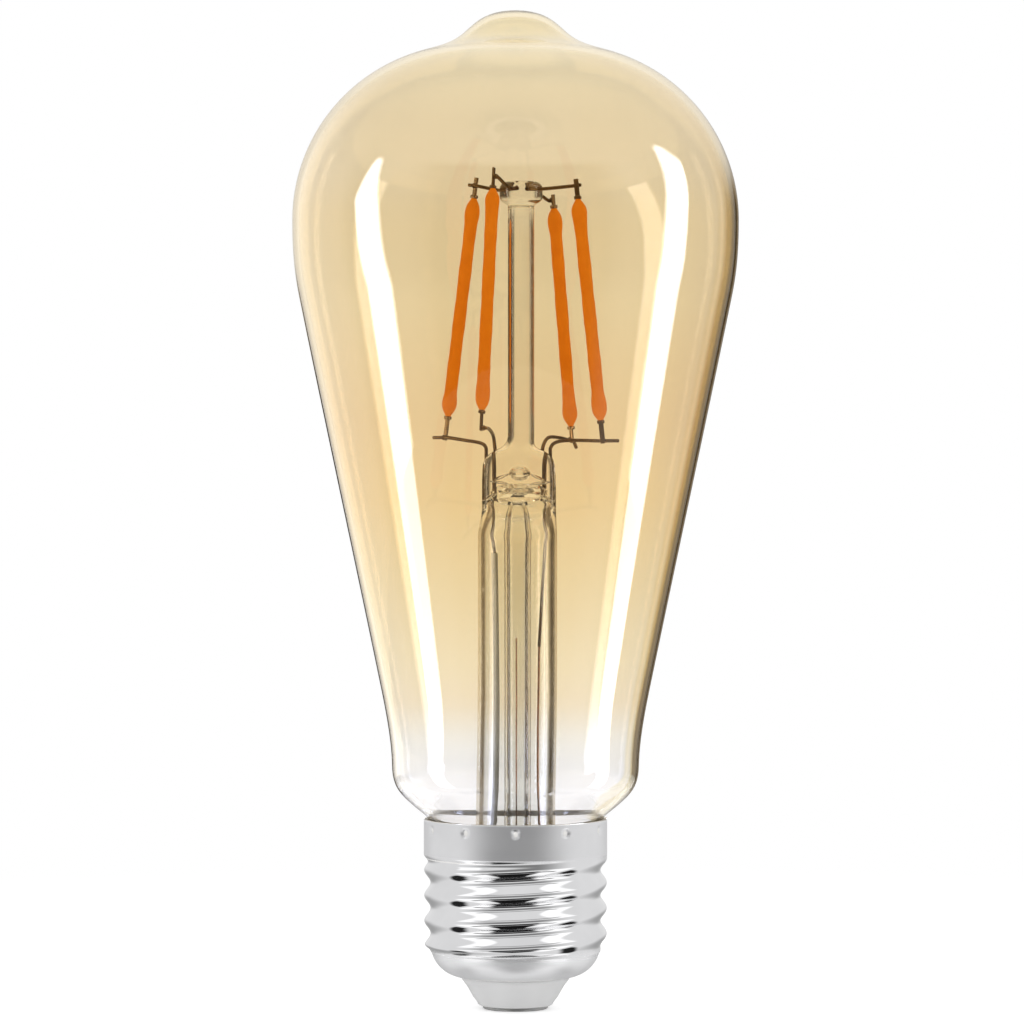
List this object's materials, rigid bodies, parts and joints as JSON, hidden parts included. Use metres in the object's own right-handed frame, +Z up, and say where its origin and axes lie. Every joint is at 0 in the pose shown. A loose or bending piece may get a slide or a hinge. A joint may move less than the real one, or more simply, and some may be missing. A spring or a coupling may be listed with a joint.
{
  "type": "smart light bulb",
  "caption": "Pear-shaped amber glass LED filament bulb on a screw cap, with upright coated filaments on a glass stem and a driver with a radio module inside the cap.",
  "frame": {"origin": "middle of the centre contact's lower face, the lowest point of the bulb", "axes": "+Z up the bulb's axis from the cap to the glass tip; -Y is the side shown to a viewer, +X is that viewer's right"},
  "size_m": [0.064, 0.064, 0.1431],
  "materials": {
    "amber_glass": "clear blown glass, amber tint that fades out at the neck",
    "clear_glass": "clear fused glass",
    "phosphor": "silicone and phosphor, unlit",
    "carrier_strip": "satin",
    "led_chip": "polished",
    "tab_metal": "heat-tinted plated strip",
    "nickel_wire": "heat-tinted drawn wire",
    "copper": "drawn copper wire",
    "sleeve": "white woven glass sleeve",
    "nickel_plated_shell": "bright nickel plate, satin collar",
    "cap_ceramic": "moulded, slightly glossy, pale grey",
    "contact_metal": "pressed, dull",
    "cement": "baked basing cement",
    "solder": "bright solder",
    "driver_plastic": "moulded, matte",
    "board_green": "solder mask over glass-fibre board",
    "board_blue": "solder mask over glass-fibre board",
    "capacitor_sleeve": "heat-shrunk sleeve",
    "ferrite": "sintered, dull",
    "chip_black": "moulded epoxy",
    "resistor_body": "lacquered",
    "shield_steel": "tinned sheet",
    "tinned_wire": "tinned",
    "wire_jacket": "insulated wire"
  },
  "bodies": {
    "root": {"glass_envelope": "amber_glass", "stem_tube": "clear_glass", "stem_press": "clear_glass", "exhaust_tube": "clear_glass", "support_post": "clear_glass", "post_bead": "clear_glass", "filament_1_coating": "phosphor", "filament_2_coating": "phosphor", "filament_3_coating": "phosphor", "filament_4_coating": "phosphor", "filament_1_strip": "carrier_strip", "filament_2_strip": "carrier_strip", "filament_3_strip": "carrier_strip", "filament_4_strip": "carrier_strip", "filament_1_chips": "led_chip", "filament_2_chips": "led_chip", "filament_3_chips": "led_chip", "filament_4_chips": "led_chip", "filament_1_top_tab": "tab_metal", "filament_2_top_tab": "tab_metal", "filament_3_top_tab": "tab_metal", "filament_4_top_tab": "tab_metal", "filament_1_bottom_tab": "tab_metal", "filament_2_bottom_tab": "tab_metal", "filament_3_bottom_tab": "tab_metal", "filament_4_bottom_tab": "tab_metal", "upper_wire_1": "nickel_wire", "upper_wire_2": "nickel_wire", "upper_wire_3": "nickel_wire", "upper_wire_4": "nickel_wire", "lower_wire_1": "nickel_wire", "lower_wire_2": "nickel_wire", "lower_wire_3": "nickel_wire", "lower_wire_4": "nickel_wire", "lead_in_left": "nickel_wire", "lead_in_right": "nickel_wire", "lead_tail_left": "copper", "lead_tail_right": "copper", "lead_sleeve_left": "sleeve", "screw_shell": "nickel_plated_shell", "cap_insulator": "cap_ceramic", "centre_contact": "contact_metal", "basing_cement": "cement", "rim_solder": "solder", "driver_cup": "driver_plastic", "driver_board": "board_green", "bulk_capacitor": "capacitor_sleeve", "inductor_core": "ferrite", "inductor_winding": "copper", "bridge_rectifier": "chip_black", "driver_chip": "chip_black", "fuse_resistor": "resistor_body", "radio_board": "board_blue", "radio_shield": "shield_steel", "antenna_wire": "copper", "neutral_wire": "tinned_wire", "live_wire": "wire_jacket"}
  },
  "joints": []
}
